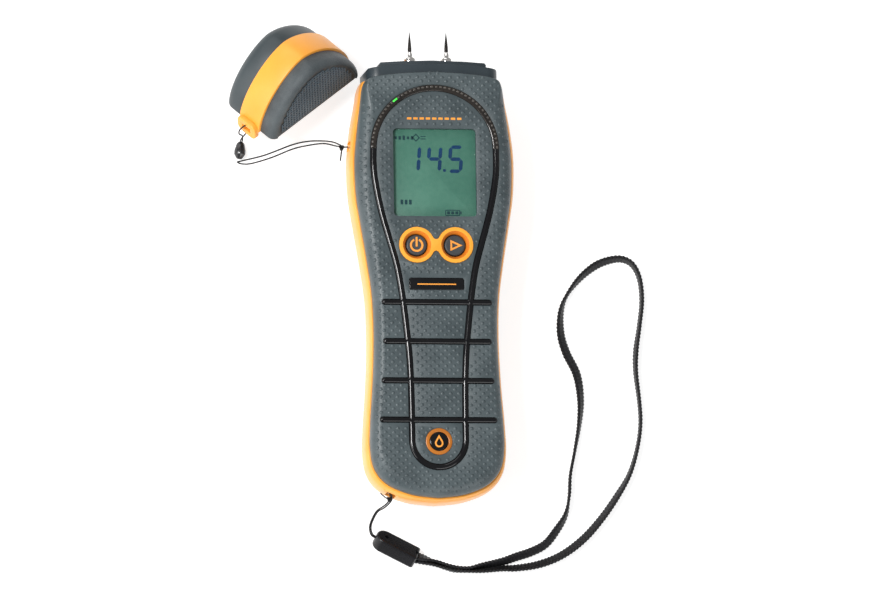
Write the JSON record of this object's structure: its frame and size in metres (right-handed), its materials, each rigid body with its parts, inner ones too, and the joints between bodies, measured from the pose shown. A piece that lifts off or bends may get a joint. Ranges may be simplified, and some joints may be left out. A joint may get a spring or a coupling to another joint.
{
  "type": "moisture meter",
  "caption": "Hand-held pin moisture meter with green display, light arc, button pair, gripped handle, tethered pin cap and wrist strap.",
  "frame": {"origin": "on the flat back of the rear shell, on the centre line, about halfway along the body", "axes": "+X to the meter's right seen from the front, +Y towards the pins, +Z out of the front face; the meter lies on its back on the plane z = 0"},
  "size_m": [0.173, 0.2288, 0.0405],
  "materials": {
    "shell_dark": "moulded dot texture, blue-grey",
    "shell_rear": "fine spark texture",
    "cap_dark": "grainy edge with a dimpled face",
    "band_orange": "satin soft-touch",
    "cap_orange": "satin",
    "bezel_orange": "satin gloss",
    "gloss_black": "high gloss",
    "smoke_lens": "smoked clear plastic",
    "circuit_board": "solder mask",
    "led_off": "clear, unlit",
    "led_lit": "lit green",
    "clear_window": "clear polycarbonate",
    "display_green": "green-grey liquid crystal",
    "display_ink": "dark blue segments",
    "plastic_black": "plain moulded",
    "diffuser": "milky",
    "rubber_soft": "soft rubber",
    "button_rubber": "satin keypad rubber",
    "print_orange": "pad-printed ink",
    "steel": "plain",
    "pin_steel": "ground, slightly tarnished",
    "collar_chrome": "bright plated",
    "copper": "copper foil",
    "brass": "plain",
    "cell_jacket": "plain cell jacket",
    "thin_cord": "braided",
    "bead_plastic": "faceted",
    "block_rubber": "satin",
    "webbing": "woven tube"
  },
  "bodies": {
    "meter": {"front_shell": "shell_dark", "side_band": "band_orange", "rear_shell": "shell_rear", "neck": "shell_rear", "grip_frame": "gloss_black", "light_lens": "smoke_lens", "led_board": "circuit_board", "leds": "led_off", "lit_led": "led_lit", "display_window": "clear_window", "display_glass": "display_green", "display_segments": "display_ink", "display_frame": "plastic_black", "backlight": "diffuser", "zebra_strips": "rubber_soft", "button_bezel": "bezel_orange", "button_switches": "steel", "main_board": "circuit_board", "board_chips": "plastic_black", "buzzer": "plastic_black", "board_header": "plastic_black", "sensor_board": "circuit_board", "sensor_plate": "copper", "pin_sockets": "brass", "left_pin": "pin_steel", "right_pin": "pin_steel", "left_collar": "collar_chrome", "right_collar": "collar_chrome", "pin_seals": "rubber_soft", "probe_socket": "plastic_black", "name_plate": "gloss_black", "printed_marks": "print_orange", "badge_ring": "bezel_orange", "badge_disc": "gloss_black", "badge_mark": "print_orange", "batteries": "cell_jacket", "battery_contacts": "steel", "case_screws": "steel", "board_screws": "steel", "tether_pin": "steel", "strap_pin": "steel", "strap_cord": "thin_cord", "strap_knot": "thin_cord", "strap_block": "block_rubber", "strap_webbing": "webbing"},
    "power_button": {"power_button": "button_rubber", "power_icon": "print_orange"},
    "mode_button": {"mode_button": "button_rubber", "mode_icon": "print_orange"},
    "battery_door": {"battery_door": "shell_rear"},
    "tether": {"tether_cord": "thin_cord", "tether_knot": "thin_cord"},
    "cap": {"cap_front": "cap_dark", "cap_band": "cap_orange", "cap_rear": "shell_rear", "cap_liner": "rubber_soft", "cap_loop": "thin_cord", "tether_bead": "bead_plastic"}
  },
  "joints": [
    {"name": "power_press", "type": "slide", "parent": "meter", "child": "power_button", "axis": [0, 0, -1], "range_m": [0, 0.001], "stiffness_N_per_m": 1500},
    {"name": "mode_press", "type": "slide", "parent": "meter", "child": "mode_button", "axis": [0, 0, -1], "range_m": [0, 0.001], "stiffness_N_per_m": 1500},
    {"name": "battery_door_slide", "type": "slide", "parent": "meter", "child": "battery_door", "axis": [0, -1, 0], "range_m": [0, 0.008]},
    {"name": "tether_swing", "type": "hinge", "parent": "meter", "child": "tether", "pos_m": [-0.0326, 0.057, 0.02], "axis": [0, 0, 1], "range_deg": [0, 30]},
    {"name": "cap_swing", "type": "hinge", "parent": "tether", "child": "cap", "pos_m": [-0.0763, 0.0574, 0.0025], "axis": [0, 0, 1], "range_deg": [0, 60]}
  ]
}
